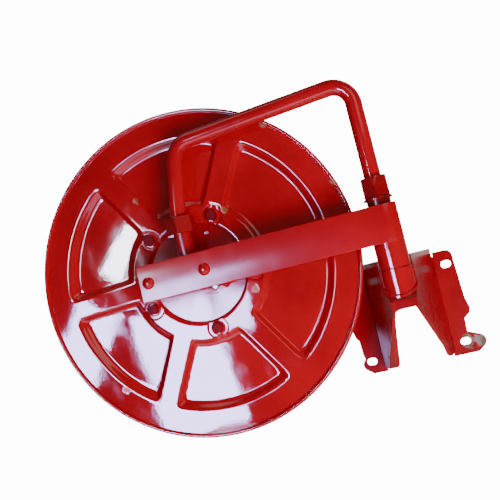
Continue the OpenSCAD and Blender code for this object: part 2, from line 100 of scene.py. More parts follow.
# the water pipe
PIPE_WALL_BEND = 34 * MM    # radius of the two big bends
PIPE_LOW_BEND = 60 * MM     # radius of the bend above the union nut
PIPE_FALL = np.radians(3.8)  # how much the top run falls towards the reel
PIPE_LEAN = np.radians(10.3)  # how much the run above the union nut leans
LEAN_LIFT = 7 * MM          # height of the lean's corner above the union nut
PIPE_SQUEEZE = 0.05         # how much a big bend narrows the pipe
BIG_TURN = 0.5              # the smallest turn that counts as a big bend, in radians
RUN_STEPS = 14
ARC_STEPS = 18
END_STEPS = 6
PIPE_SIDES = 48

# edges: how far a surface turns where shading breaks, and what is merged, rounded or left flat
NEW_CREASE = np.radians(50)  # on the surfaces made here
CAD_CREASE = np.radians(40)  # on rounded copies of CAD nodes
ROUND_ABOVE = np.radians(32)  # the least angle of an edge that is rounded
FLAT_BELOW = np.radians(0.5)  # faces that turn less than this are joined
SAME_PLACE = 1e-6           # corners nearer than this are merged
FOLD_SEGMENTS, EDGE_SEGMENTS = 6, 3

# the folds of the bracket's sheet
FOLD_TURN = np.radians(20)  # the least angle of a fold
FOLD_LENGTH = 30 * MM       # the least length of a fold
FOLD_BREADTH = 9 * MM       # the least breadth of the faces on both sides of it

# how bright the camera sees the stage, so that it shows as white
STAGE_GLOW = 14.0

# the view: angles in degrees, the distance in metres, the lens and its sensor in millimetres
VIEW_AZIMUTH = 11.1
VIEW_ELEVATION = -3.13
VIEW_ROLL = -13.84
VIEW_DISTANCE = 1.256
VIEW_ASIDE = 98 * MM        # how far beside the reel's middle the camera aims
VIEW_ABOVE = 15 * MM        # how far above it
LENS = 53.95
SENSOR_WIDTH = 36


# ---------- places, from the CAD ----------
def middle(node):
    """The middle of a CAD node's box."""
    low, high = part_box(node)
    return (low + high) / 2


disc_low, disc_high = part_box("front_disc")
rear_low, rear_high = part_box("rear_disc")
REEL = middle("front_disc")
FRONT_FACE = disc_low.y + 2 * LIP_R - SHEET
REAR_FACE = rear_high.y - 2 * LIP_R + SHEET
FRONT_R = (disc_high.x - disc_low.x) / 2
REAR_R = (rear_high.x - rear_low.x) / 2
PIVOT = middle("swing_sleeve")
pipe_low, pipe_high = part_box("water_pipe")
PIPE_R = (pipe_high.y - pipe_low.y) / 2
ear_low, ear_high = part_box("wall_bracket")


def on_disc(r, degrees):
    """A point on the front disc's face."""
    turn = np.radians(degrees)
    return (REEL.x + r * np.cos(turn), FRONT_FACE, REEL.z + r * np.sin(turn))


# ---------- surfaces ----------
def finish_piece(name, mesh, body, material, replaces=()):
    """Makes an object of a mesh, hangs it on its body and gives it its slot and material."""
    piece = bpy.data.objects.new(name, mesh)
    bpy.context.scene.collection.objects.link(piece)
    mesh.materials.clear()
    mesh.materials.append(material)
    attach(piece, body)
    if replaces:
        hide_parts(*replaces)
    return piece


def grid_mesh(name, points, caps=False):
    """A surface through points[i, j]. Both ways close on themselves, or with caps only j does
    and the first and last rings get a flat face each."""
    rows, columns = points.shape[:2]
    i = np.arange(rows - 1 if caps else rows)
    j = np.arange(columns)
    i, j = (a.ravel() for a in np.meshgrid(i, j, indexing="ij"))
    i2, j2 = (i + 1) % rows, (j + 1) % columns
    quads = np.stack([i * columns + j, i * columns + j2, i2 * columns + j2, i2 * columns + j], 1)
    faces = quads.tolist()
    if caps:
        faces.append(list(range(columns))[::-1])
        faces.append(list(range((rows - 1) * columns, rows * columns)))
    mesh = bpy.data.meshes.new(name)
    mesh.from_pydata(points.reshape(-1, 3).tolist(), [], faces)
    point_outwards(mesh)
    return mesh


def point_outwards(mesh):
    """Turns every face outwards and shades the mesh smooth, apart from its sharp edges."""
    shape = bmesh.new()
    shape.from_mesh(mesh)
    bmesh.ops.recalc_face_normals(shape, faces=shape.faces)
    shape.to_mesh(mesh)
    shape.free()
    mesh.polygons.foreach_set("use_smooth", np.ones(len(mesh.polygons), bool))
    mesh.set_sharp_from_angle(angle=NEW_CREASE)


def ease(t):
    """A pressed slope from 0 to 1: 6 t^5 - 15 t^4 + 10 t^3, level at both ends and steepest
    midway."""
    t = np.clip(t, 0, 1)
    return t * t * t * (t * (6 * t - 15) + 10)


def soft_least(values, blend):
    """The least of several arrays, rounded off where two are nearly the same: minus blend times
    the logarithm of the sum of exp(-value / blend)."""
    values = np.stack(values)
    least = values.min(0)
    return least - blend * np.log(np.exp(-(values - least) / blend).sum(0))


def angle_from_nearest(phi, phase, count):
    """The angle from the nearest of count equal places round the disc, the first at phase."""
    step = 2 * np.pi / count
    return (phi - phase + step / 2) % step - step / 2


def panel_depth(r, phi, radius):
    """The pressed panels: PRESS_DEPTH times the eased slope of whichever is nearest, the rim, a
    rib or the hub ring, each distance counted in widths of its own slope."""
    rib_angle = angle_from_nearest(phi, RIB_PHASE, RIB_COUNT)
    beside_rib = np.abs(r * np.sin(rib_angle)) - RIB_FLAT / 2
    inside_rim = radius - RIM_FLAT - r
    outside_hub = r - HUB_RING_R
    walls = [inside_rim / RIM_SLOPE, beside_rib / RIB_SLOPE, outside_hub / HUB_SLOPE]
    return PRESS_DEPTH * ease(soft_least(walls, CORNER_BLEND))


def dimple_depth(r, phi):
    """A shallow groove round each bolt: deepest at DIMPLE_R from the bolt's middle, and eased to
    nothing DIMPLE_HALF to each side."""
    bolt_angle = angle_from_nearest(phi, BOLT_PHASE, BOLT_COUNT)
    from_bolt = np.hypot(r * np.cos(bolt_angle) - BOLT_CIRCLE_R, r * np.sin(bolt_angle))
    return DIMPLE_DEPTH * ease(1 - np.abs(from_bolt - DIMPLE_R) / DIMPLE_HALF)


def hole_edge_depth(r):
    """The hub hole's turned-in edge: very nearly a quarter circle of radius HOLE_TURN_R, stopped
    just short of where it would stand upright."""
    upright = 0.98
    near_hole = np.clip((HUB_HOLE_R + HOLE_TURN_R - r) / HOLE_TURN_R, 0, 1)
    return HOLE_TURN_R * (1 - np.sqrt(1 - upright * near_hole ** 2))


def press_depth(r, phi, radius):
    """How deep the sheet lies behind its face at a radius and an angle: the sum of the panels,
    the grooves round the bolts and the edge of the hub hole."""
    return panel_depth(r, phi, radius) + dimple_depth(r, phi) + hole_edge_depth(r)


def disc_mesh(name, face_y, radius, inward):
    """A pressed disc. The section runs from the hub hole along the face, round the rolled rim and
    back behind the face, and the whole section is turned round the reel's axis:
    (r cos phi, depth, r sin phi). The face's depth is press_depth, and the rim's is a circle of
    radius LIP_R. inward is +1 where the panels sink towards +Y."""
    bead_r = radius - LIP_R
    slope_foot = radius - RIM_FLAT - RIM_SLOPE
    slope_top = radius - RIM_FLAT + SLOPE_MARGIN
    hub_side = np.linspace(HUB_HOLE_R, HUB_RING_R, HUB_STEPS)
    panel = np.linspace(HUB_RING_R, slope_foot, PANEL_STEPS)[1:]
    slope = np.linspace(slope_foot, slope_top, SLOPE_STEPS)[1:]
    rim = np.linspace(slope_top, bead_r - LIP_R, RIM_STEPS)[1:]
    face_r = np.concatenate([hub_side, panel, slope, rim])
    phi = np.linspace(0, 2 * np.pi, ROUND_STEPS, endpoint=False)

    r_front, angle = np.meshgrid(face_r, phi, indexing="ij")
    front = press_depth(r_front, angle, radius)
    turns = np.linspace(LIP_FROM, LIP_TO, LIP_STEPS) * np.pi
    bead_radius = bead_r + LIP_R * np.cos(turns)
    bead_depth = SHEET - LIP_R - LIP_R * np.sin(turns)
    r_bead, _ = np.meshgrid(bead_radius, phi, indexing="ij")
    bead, _ = np.meshgrid(bead_depth, phi, indexing="ij")
    r_back, back = r_front[::-2], front[::-2] + SHEET

    r_all = np.concatenate([r_front, r_bead, r_back])
    depth = np.concatenate([front, bead, back])
    angle = np.broadcast_to(phi, r_all.shape)
    points = np.stack([
        REEL.x + r_all * np.cos(angle),
        face_y + inward * depth,
        REEL.z + r_all * np.sin(angle),
    ], -1)
    return grid_mesh(name, points)


def rounded_bar_section(width, height, corner, steps=5):
    """The outline of a rectangle with round corners, as (across, up) points: a quarter circle
    about each corner's middle, joined by straight sides."""
    turn = np.linspace(0, np.pi / 2, steps)
    parts = []
    for k, (sx, sz) in enumerate([(1, 1), (-1, 1), (-1, -1), (1, -1)]):
        a = turn + k * np.pi / 2
        parts.append(np.stack([
            sx * (width / 2 - corner) + corner * np.cos(a),
            sz * (height / 2 - corner) + corner * np.sin(a),
        ], -1))
    return np.concatenate(parts)


def swept_mesh(name, centre, side, up, section):
    """A section carried along a path: point = centre + side * across + up * height, at each
    station of the path. section is (points, 2), or (stations, points, 2) where it changes."""
    across, height = section[..., 0], section[..., 1]
    if section.ndim == 2:
        across, height = across[None], height[None]
    points = centre[:, None] + side[:, None] * across[..., None] + up[:, None] * height[..., None]
    return grid_mesh(name, points, caps=True)


def bar_mesh():
    """The flat bar: straight along the front, then a circle about the pivot for WRAP_ANGLE, with
    its section always square to its middle line."""
    low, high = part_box("strap_arm")
    sleeve_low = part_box("swing_sleeve")[0]
    thickness = sleeve_low.y - low.y
    bend = PIVOT.y - low.y - thickness / 2
    straight = np.linspace(low.x, PIVOT.x, BAR_STEPS)
    turn = np.linspace(0, WRAP_ANGLE, WRAP_STEPS)[1:]
    x = np.concatenate([straight, PIVOT.x + bend * np.sin(turn)])
    y = np.concatenate([np.full(BAR_STEPS, PIVOT.y - bend), PIVOT.y - bend * np.cos(turn)])
    heading = np.concatenate([np.zeros(BAR_STEPS), turn])
    z = np.full(len(x), (low.z + high.z) / 2)
    centre = np.stack([x, y, z], -1)
    side = np.stack([np.sin(heading), -np.cos(heading), 0 * heading], -1)
    up = np.broadcast_to([0.0, 0.0, 1.0], centre.shape)
    section = rounded_bar_section(thickness, high.z - low.z, BAR_CORNER)
    return swept_mesh("bar", centre, side, up, section)


def pipe_corners():
    """Where the middle lines of the pipe's straight runs meet, as (x, z): up from the pivot, over
    along the falling top, down the leaning run and straight down into the union nut."""
    start = np.array([PIVOT.x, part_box("pivot_olive")[0].z])
    end = np.array([REEL.x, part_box("union_olive")[0].z])
    top_z = pipe_high.z - PIPE_R
    lean_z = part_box("hub_union_nut")[1].z + LEAN_LIFT
    corner_z = top_z + PIPE_WALL_BEND * (np.tan((np.pi / 2 + PIPE_FALL) / 2) - 1)
    over_pivot = np.array([PIVOT.x, corner_z])
    rise = corner_z - lean_z
    reach = PIVOT.x - REEL.x
    top = (reach * np.cos(PIPE_LEAN) - rise * np.sin(PIPE_LEAN)) / np.cos(PIPE_LEAN + PIPE_FALL)
    over_reel = over_pivot + top * np.array([-np.cos(PIPE_FALL), -np.sin(PIPE_FALL)])
    return [start, over_pivot, over_reel, np.array([REEL.x, lean_z]), end]


def unit(vector):
    """A vector's direction, with length 1."""
    return vector / np.linalg.norm(vector)


def rounded_path(corners, radii):
    """Straight runs joined by arcs, and for each point how far into a big bend it is, from 0 to 1.
    An arc of radius r starts r tan(turn / 2) before its corner, and its points are
    first + into r sin(a) + left r (1 - cos(a)), with a from 0 to the turn."""
    points, bends = [corners[0]], [0.0]
    for before, corner, after, r in zip(corners, corners[1:], corners[2:], radii):
        into, out = unit(corner - before), unit(after - corner)
        turn = np.arccos(np.clip(into @ out, -1, 1))
        left = np.array([-into[1], into[0]])
        if left @ out < 0:
            left = -left
        first = corner - into * r * np.tan(turn / 2)
        run = np.linspace(points[-1], first, RUN_STEPS)[1:-1]
        a = np.linspace(0, turn, ARC_STEPS)[:, None]
        arc = first + into * r * np.sin(a) + left * r * (1 - np.cos(a))
        bend = np.sin(np.linspace(0, np.pi, ARC_STEPS)) * (turn > BIG_TURN)
        points.extend([*run, *arc])
        bends.extend([*np.zeros(len(run)), *bend])
    run = np.linspace(points[-1], corners[-1], END_STEPS)[1:]
    points.extend(run)
    bends.extend(np.zeros(len(run)))
    return np.array(points), np.array(bends)


def pipe_mesh():
    """A round pipe along its path, narrowed a little across the two big bends."""
    path, bends = rounded_path(pipe_corners(), [PIPE_WALL_BEND, PIPE_WALL_BEND, PIPE_LOW_BEND])
    heading = np.gradient(path, axis=0)
    heading /= np.linalg.norm(heading, axis=1)[:, None]
    zero = np.zeros(len(path))
    centre = np.stack([path[:, 0], zero + PIVOT.y, path[:, 1]], -1)
    side = np.stack([heading[:, 1], zero, -heading[:, 0]], -1)
    up = np.broadcast_to([0.0, 1.0, 0.0], centre.shape)
    turn = np.linspace(0, 2 * np.pi, PIPE_SIDES, endpoint=False)
    across = (1 - PIPE_SQUEEZE * bends[:, None]) * np.cos(turn)
    section = PIPE_R * np.stack([across, np.broadcast_to(np.sin(turn), across.shape)], -1)
    return swept_mesh("pipe", centre, side, up, section)


def is_fold(edge):
    """True where two broad faces of the folded sheet meet along a long edge. A face's breadth is
    its area over the edge's length."""
    if len(edge.link_faces) != 2 or edge.calc_face_angle(0) < FOLD_TURN:
        return False
    length = max(edge.calc_length(), MM)
    broad = all(face.calc_area() / length > FOLD_BREADTH for face in edge.link_faces)
    return broad and length > FOLD_LENGTH


def round_edges(shape, edges, size, segments):
    """Rounds the edges, going in by size on each side."""
    if edges:
        bmesh.ops.bevel(shape, geom=edges, offset=size, offset_type="OFFSET", segments=segments,
                        profile=0.5, affect="EDGES", clamp_overlap=True)


def softened_mesh(node, edge, fold_out=0.0, fold_in=0.0):
    """A copy of a CAD node's mesh with its doubles merged, its flat faces joined and its edges
    rounded: edge is the size of the rounding, fold_out and fold_in those of a sheet's folds."""
    mesh = frame["nodes"][node].data.copy()
    shape = bmesh.new()
    shape.from_mesh(mesh)
    bmesh.ops.remove_doubles(shape, verts=shape.verts, dist=SAME_PLACE)
    bmesh.ops.dissolve_limit(shape, angle_limit=FLAT_BELOW, verts=shape.verts, edges=shape.edges)
    for outer, size in ((True, fold_out), (False, fold_in)):
        folds = [e for e in shape.edges if size and is_fold(e) and e.is_convex == outer]
        round_edges(shape, folds, size, FOLD_SEGMENTS)
    sharp = [e for e in shape.edges if len(e.link_faces) == 2 and e.calc_face_angle(0) > ROUND_ABOVE]
    round_edges(shape, sharp, edge, EDGE_SEGMENTS)
    shape.to_mesh(mesh)
    shape.free()
    mesh.polygons.foreach_set("use_smooth", np.ones(len(mesh.polygons), bool))
    mesh.set_sharp_from_angle(angle=CAD_CREASE)
    return mesh


def softened(node, edge, material, fold_out=0.0, fold_in=0.0):
    """A CAD node with rounded edges, in the CAD node's place."""
    body = frame["nodes"][node]["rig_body"]
    mesh = softened_mesh(node, edge, fold_out, fold_in)
    piece = finish_piece(node + "_soft", mesh, body, material, [node])
    weighted = piece.modifiers.new("weighted", "WEIGHTED_NORMAL")
    weighted.keep_sharp = True
    return piece


# ---------- shader helpers ----------
def node_of(tree, kind, **values):
    """A shader node with some of its inputs or settings filled in. A name's underscores stand for
    the spaces of an input's name."""
    node = tree.nodes.new(kind)
    for key, value in values.items():
        name = key.replace("_", " ")
        if name in node.inputs:
            node.inputs[name].default_value = value
        else:
            setattr(node, key, value)
    return node


def noise(tree, scale, detail=4.0, stretch=(1, 1, 1)):
    """Noise on object coordinates; the scale counts per metre."""
    place = tree.nodes.new("ShaderNodeTexCoord")
    mapping = node_of(tree, "ShaderNodeMapping", Scale=stretch)
    texture = node_of(tree, "ShaderNodeTexNoise", Scale=scale, Detail=detail)
    tree.links.new(place.outputs["Object"], mapping.inputs["Vector"])
    tree.links.new(mapping.outputs["Vector"], texture.inputs["Vector"])
    return texture.outputs["Fac"]


def spread(tree, value, low, high, to_low=0.0, to_high=1.0):
    """Maps low..high of a value smoothly onto to_low..to_high."""
    node = node_of(tree, "ShaderNodeMapRange", interpolation_type="SMOOTHSTEP")
    for name, number in zip(("From Min", "From Max", "To Min", "To Max"), (low, high, to_low, to_high)):
        node.inputs[name].default_value = number
    tree.links.new(value, node.inputs["Value"])
    return node.outputs["Result"]


def combine(tree, operation, a, b):
    """A sum, product or the like of two values; either may be a plain number."""
    node = node_of(tree, "ShaderNodeMath", operation=operation)
    for socket, value in zip(node.inputs, (a, b)):
        if isinstance(value, (int, float)):
            socket.default_value = value
        else:
            tree.links.new(value, socket)
    return node.outputs["Value"]


def times(tree, a, b):
    """The product of two values."""
    return combine(tree, "MULTIPLY", a, b)


def plus(tree, a, b):
    """The sum of two values."""
    return combine(tree, "ADD", a, b)


def mixed(tree, factor, a, b):
    """A colour between a and b; each may be a plain colour."""
    node = node_of(tree, "ShaderNodeMix", data_type="RGBA")
    tree.links.new(factor, node.inputs["Factor"])
    for name, value in (("A", a), ("B", b)):
        socket = [s for s in node.inputs if s.name == name and s.type == "RGBA"][0]
        if isinstance(value, tuple):
            socket.default_value = (*value, 1.0)
        else:
            tree.links.new(value, socket)
    return [s for s in node.outputs if s.type == "RGBA"][0]


def new_group(name, inputs, outputs):
    """An empty shader node group with the named sockets, as {name: kind}."""
    tree = bpy.data.node_groups.new(name, "ShaderNodeTree")
    for label, kind in inputs.items():
        tree.interface.new_socket(name=label, in_out="INPUT", socket_type=kind)
    for label, kind in outputs.items():
        tree.interface.new_socket(name=label, in_out="OUTPUT", socket_type=kind)
    return tree, tree.nodes.new("NodeGroupInput"), tree.nodes.new("NodeGroupOutput")


FLOAT, COLOUR, VECTOR = "NodeSocketFloat", "NodeSocketColor", "NodeSocketVector"


def paint_group():
    """Sprayed paint: a colour that varies in clouds and specks, a height of fine orange peel and
    of the sheet's long waves, and a haze mask."""
    tree, given, result = new_group(
        "sprayed_paint", {"Light": COLOUR, "Dark": COLOUR, "Peel": FLOAT, "Waves": FLOAT},
        {"Colour": COLOUR, "Height": FLOAT, "Haze": FLOAT})
    clouds = spread(tree, noise(tree, scale=9, detail=5), 0.32, 0.7)
    speck = spread(tree, noise(tree, scale=900, detail=2), 0.35, 0.75, 0.0, 0.22)
    blend = plus(tree, times(tree, clouds, 0.8), speck)
    colour = mixed(tree, blend, given.outputs["Light"], given.outputs["Dark"])
    peel = times(tree, noise(tree, scale=260, detail=3), given.outputs["Peel"])
    waves = times(tree, noise(tree, scale=22, detail=1), given.outputs["Waves"])
    tree.links.new(colour, result.inputs["Colour"])
    tree.links.new(plus(tree, peel, waves), result.inputs["Height"])
    haze = spread(tree, noise(tree, scale=30, detail=6, stretch=(1, 1, 0.5)), 0.45, 0.8)
    tree.links.new(haze, result.inputs["Haze"])
    return tree


def dust_group():
    """Dust: a mask that gathers on faces that look up, broken by noise."""
    tree, given, result = new_group("dust", {"Amount": FLOAT}, {"Mask": FLOAT})
    geometry = tree.nodes.new("ShaderNodeNewGeometry")
    axes = tree.nodes.new("ShaderNodeSeparateXYZ")
    tree.links.new(geometry.outputs["Normal"], axes.inputs["Vector"])
    upward = spread(tree, axes.outputs["Z"], 0.35, 1.0)
    patches = spread(tree, noise(tree, scale=45, detail=6), 0.38, 0.72)
    mask = times(tree, times(tree, upward, patches), given.outputs["Amount"])
    tree.links.new(mask, result.inputs["Mask"])
    return tree


def chips_group():
    """Chips and scratches: small spots and thin lines where paint is through to the metal."""
    tree, given, result = new_group("chips", {"Amount": FLOAT}, {"Mask": FLOAT})
    spots = spread(tree, noise(tree, scale=160, detail=5), 0.70, 0.74)
    patches = spread(tree, noise(tree, scale=14, detail=2), 0.52, 0.66)
    lines = spread(tree, noise(tree, scale=420, detail=2, stretch=(0.07, 1, 1)), 0.73, 0.76)
    both = combine(tree, "MAXIMUM", times(tree, spots, patches), times(tree, lines, patches))
    tree.links.new(times(tree, both, given.outputs["Amount"]), result.inputs["Mask"])
    return tree


def worn_group():
    """A ragged ball of wear about a centre: full where distance / radius + 1.5 * noise is under
    1.25, and none where it is over 1.5."""
    tree, given, result = new_group("worn_spot", {"Centre": VECTOR, "Radius": FLOAT}, {"Mask": FLOAT})
    place = tree.nodes.new("ShaderNodeTexCoord")
    away = node_of(tree, "ShaderNodeVectorMath", operation="DISTANCE")
    tree.links.new(place.outputs["Object"], away.inputs[0])
    tree.links.new(given.outputs["Centre"], away.inputs[1])
    share = combine(tree, "DIVIDE", away.outputs["Value"], given.outputs["Radius"])
    ragged = plus(tree, share, times(tree, noise(tree, scale=110, detail=6), 1.5))
    tree.links.new(spread(tree, ragged, 1.25, 1.5, 1.0, 0.0), result.inputs["Mask"])
    return tree


PAINT, DUST, CHIPS, WORN = paint_group(), dust_group(), chips_group(), worn_group()


def new_material(name):
    """A material with its tree, its shader and nothing else linked."""
    material = bpy.data.materials.new(name)
    material.use_nodes = True
    tree = material.node_tree
    return material, tree, tree.nodes["Principled BSDF"]


def group_node(tree, group, **values):
    """A shared effect placed in a material, with its own values."""
    node = tree.nodes.new("ShaderNodeGroup")
    node.node_tree = group
    for key, value in values.items():
        node.inputs[key].default_value = value
    return node


def bump(tree, shader, height, distance):
    """Lets a height shape the shader's normal; a height of 1 stands out by the distance."""
    node = node_of(tree, "ShaderNodeBump", Strength=1.0, Distance=distance)
    tree.links.new(height, node.inputs["Height"])
    tree.links.new(node.outputs["Normal"], shader.inputs["Normal"])


# Finishes that materials share: colours, then how much dust and bare spots add
STEEL_GREYS = (0.20, 0.12, 0.08), (0.42, 0.34, 0.28)
PRIMER_GOLDS = (0.34, 0.06, 0.015), (0.56, 0.17, 0.05)
RED, DEEP_RED = (0.66, 0.0, 0.012), (0.50, 0.0, 0.008)
DUST_ON_PAINT = (0.42, 0.30, 0.28)
DUST_ON_METAL = (0.4, 0.36, 0.33)
PAINT_DUST, METAL_DUST = 0.2, 0.4
HAZE_ROUGHNESS = 0.06
DUST_ROUGHNESS = 0.5
BARE_ROUGHNESS = 0.45
BARE_METALLIC = 0.3
CHIP_DEPTH = 1.5            # how deep bare spots lie, in heights of the paint's relief
PAINT_RELIEF = 0.06 * MM
FINE_RELIEF = 0.05 * MM     # height of turning marks and of rubber's grain


def painted(name, light, dark, roughness=0.06, gloss=0.7, peel=0.3, waves=3.0, chips=0.25,
            worn=(), under=STEEL_GREYS):
    """Gloss paint on steel, with haze, dust, chips and any worn spots as (centre, radius) that bare
    the two colours under it. gloss is how strongly it mirrors, and peel and waves are how uneven
    the sheet is in the small and in the large."""
    material, tree, shader = new_material(name)
    paint = group_node(tree, PAINT, Light=(*light, 1), Dark=(*dark, 1), Peel=peel, Waves=waves)
    dusty = group_node(tree, DUST, Amount=PAINT_DUST).outputs["Mask"]
    bare = group_node(tree, CHIPS, Amount=chips).outputs["Mask"]
    for centre, radius in worn:
        spot = group_node(tree, WORN, Centre=centre, Radius=radius)
        bare = combine(tree, "MAXIMUM", bare, spot.outputs["Mask"])
    colour = mixed(tree, dusty, paint.outputs["Colour"], DUST_ON_PAINT)
    metal = mixed(tree, spread(tree, noise(tree, scale=70, detail=5), 0.4, 0.7), *under)
    tree.links.new(mixed(tree, bare, colour, metal), shader.inputs["Base Color"])
    rough = spread(tree, paint.outputs["Haze"], 0, 1, roughness, roughness + HAZE_ROUGHNESS)
    rough = plus(tree, rough, times(tree, dusty, DUST_ROUGHNESS))
    rough = plus(tree, rough, times(tree, bare, BARE_ROUGHNESS))
    tree.links.new(rough, shader.inputs["Roughness"])
    tree.links.new(times(tree, bare, BARE_METALLIC), shader.inputs["Metallic"])
    shader.inputs["Specular IOR Level"].default_value = gloss
    height = combine(tree, "SUBTRACT", paint.outputs["Height"], times(tree, bare, CHIP_DEPTH))
    bump(tree, shader, height, PAINT_RELIEF)
    return material


def machined(name, light, dark, roughness):
    """Bare metal with fine turning marks, tarnish and a little dust."""
    material, tree, shader = new_material(name)
    marks = noise(tree, scale=420, detail=4, stretch=(1, 1, 12))
    tarnish = spread(tree, noise(tree, scale=38, detail=6), 0.4, 0.75)
    dusty = group_node(tree, DUST, Amount=METAL_DUST).outputs["Mask"]
    colour = mixed(tree, tarnish, light, dark)
    tree.links.new(mixed(tree, dusty, colour, DUST_ON_METAL), shader.inputs["Base Color"])
    shader.inputs["Metallic"].default_value = 1.0
    marked = spread(tree, marks, 0.2, 0.8, roughness, roughness + 0.15)
    tree.links.new(plus(tree, marked, times(tree, tarnish, 0.15)), shader.inputs["Roughness"])
    bump(tree, shader, marks, FINE_RELIEF)
    return material


def rubbery(name, light, dark):
    """Dull rubber with a bloom that pales it from dark to light."""
    material, tree, shader = new_material(name)
    bloom = spread(tree, noise(tree, scale=90, detail=5), 0.4, 0.8)
    tree.links.new(mixed(tree, bloom, dark, light), shader.inputs["Base Color"])
    tree.links.new(spread(tree, bloom, 0, 1, 0.5, 0.75), shader.inputs["Roughness"])
    bump(tree, shader, noise(tree, scale=900, detail=3), FINE_RELIEF)
    return material


def stage_white(name, colour, glow):
    """The stage: one pale matt surface that looks evenly white to the camera."""
    material, tree, shader = new_material(name)
    shader.inputs["Base Color"].default_value = (*colour, 1)
    shader.inputs["Roughness"].default_value = 1.0
    shader.inputs["Specular IOR Level"].default_value = 0.0
    shader.inputs["Emission Color"].default_value = (1, 1, 1, 1)
    sight = tree.nodes.new("ShaderNodeLightPath").outputs["Is Camera Ray"]
    tree.links.new(times(tree, sight, glow), shader.inputs["Emission Strength"])
    return material


# ---------- materials ----------
SLOT_OF = {part["node"]: part["material_slot"] for part in frame["record"]["subparts"]}

# one for each slot
MATERIALS = {
    "red_paint": painted("red_paint", RED, DEEP_RED),
    "red_pipe": painted("red_pipe", RED, DEEP_RED, roughness=0.1, peel=0.6),
    "red_casting": painted("red_casting", (0.48, 0.004, 0.012), (0.28, 0.002, 0.006),
                           roughness=0.22, gloss=0.5, peel=4.0),
    "red_nut": painted("red_nut", (0.44, 0.004, 0.010), (0.20, 0.002, 0.005),
                       roughness=0.18, gloss=0.5, peel=1.0, chips=0.6),
    # the bolts' red is darker than the disc's: painted shade for the dark grooves they sit in
    "red_bolt": painted("red_bolt", (0.34, 0.003, 0.008), (0.14, 0.002, 0.004),
                        roughness=0.45, gloss=0.04, peel=1.0, chips=0.15),
    "plain_steel": machined("plain_steel", (0.60, 0.60, 0.61), (0.38, 0.37, 0.36), roughness=0.28),
    "bronze": machined("bronze", (0.62, 0.43, 0.18), (0.36, 0.23, 0.10), roughness=0.26),
    "seal_rubber": rubbery("seal_rubber", (0.05, 0.05, 0.048), (0.012, 0.012, 0.012)),
}

# the bracket is worn at the low tip of its right ear and round that ear's lower slot
EAR_TIP = (ear_high.x - 8 * MM, -3 * MM, ear_low.z + 20 * MM)
SLOT_SPOT = (84 * MM, -4 * MM, -70 * MM)
# the bracket's red is a darker copy of the paint: painted shade for the drum's shadow on the bracket.
# Its chips and worn spots are real wear.
BRACKET_SHADED_PAINT = painted("bracket_paint_shaded", (0.56, 0.0, 0.01), (0.34, 0.0, 0.006), roughness=0.2,
                        gloss=0.35, peel=0.8, chips=0.6, worn=[(EAR_TIP, 17 * MM), (SLOT_SPOT, 19 * MM)])
BAR_PAINT = painted("bar_paint", RED, DEEP_RED, roughness=0.17, gloss=0.5, peel=0.8)

# spots rubbed to the primer on the front disc, as millimetres from its middle and degrees
RUBS = [(275, 19), (274, 51), (240, 224), (166, 117), (116, 52), (104, 331)]
RUB_R = 10 * MM
DISC_PAINT = painted("disc_paint", RED, DEEP_RED, roughness=0.03, waves=2.4, under=PRIMER_GOLDS,
                     worn=[(on_disc(r * MM, turn), RUB_R) for r, turn in RUBS])

for node, shown in frame["nodes"].items():
    shown.data.materials.clear()
    shown.data.materials.append(MATERIALS[SLOT_OF[node]])


# ---------- pieces ----------
finish_piece("front_disc_pressed", disc_mesh("front_disc_pressed", FRONT_FACE, FRONT_R, 1),
             "drum", DISC_PAINT, ["front_disc"])
finish_piece("rear_disc_pressed", disc_mesh("rear_disc_pressed", REAR_FACE, REAR_R, -1),
             "drum", MATERIALS["red_paint"], ["rear_disc"])
finish_piece("bar", bar_mesh(), "arm", BAR_PAINT, ["strap_arm"])
finish_piece("pipe", pipe_mesh(), "arm", MATERIALS["red_pipe"], ["water_pipe"])

# the bracket gets the darker copy of the red, as painted shade
softened("wall_bracket", 0.8 * MM, BRACKET_SHADED_PAINT, fold_out=6 * MM, fold_in=2 * MM)

# how far each other piece's edges are rounded, in millimetres
EDGES = {
    "pivot_housing": 0.8, "swing_sleeve": 0.8, "thrust_washer": 0.5, "gland_washer": 0.9,
    "pivot_nut": 1.2, "hub_union_nut": 1.2, "hub_inlet": 1.2, "arm_bolts": 0.5, "arm_nuts": 0.6,
    "arm_washers": 0.3, "drain_plug": 0.6, "front_hub_plate": 1.5, "rear_hub_plate": 1.5,
    "hub_bolts": 0.8, "hub_nuts": 0.6, "hub_washers": 0.3, "end_cap": 1.5, "hose_outlet": 0.6,
}
for node, edge in EDGES.items():
    softened(node, edge * MM, BAR_PAINT if node == "arm_bolts" else MATERIALS[SLOT_OF[node]])


# ---------- stage, light and camera ----------
def stage_sweep():
    """A pale floor that curves up into a backdrop: an L-shaped line with a round corner, carried
    along X."""
    floor_z, top_z = -1.3, 7.0
    front_y, back_y = -7.0, 3.2
    corner, half_width = 1.2, 9.0
    turn = np.linspace(0, np.pi / 2, 20)
    y = np.concatenate([[front_y], back_y - corner + corner * np.sin(turn), [back_y]])
    z = np.concatenate([[floor_z], floor_z + corner * (1 - np.cos(turn)), [top_z]])
    x = np.linspace(-half_width, half_width, 3)
    rows, columns = len(x), len(y)
    grid = np.stack(np.broadcast_arrays(x[:, None], y, z), -1)
    i, j = (a.ravel() for a in np.meshgrid(np.arange(rows - 1), np.arange(columns - 1), indexing="ij"))
    quads = np.stack([i * columns + j, (i + 1) * columns + j, (i + 1) * columns + j + 1,
                      i * columns + j + 1], 1)
    mesh = bpy.data.meshes.new("floor")
    mesh.from_pydata(grid.reshape(-1, 3).tolist(), [], quads.tolist())
    mesh.polygons.foreach_set("use_smooth", np.ones(len(mesh.polygons), bool))
    mesh.materials.append(stage_white("floor_white", (0.85, 0.85, 0.85), STAGE_GLOW))
    floor = bpy.data.objects.new("floor", mesh)
    bpy.context.scene.collection.objects.link(floor)


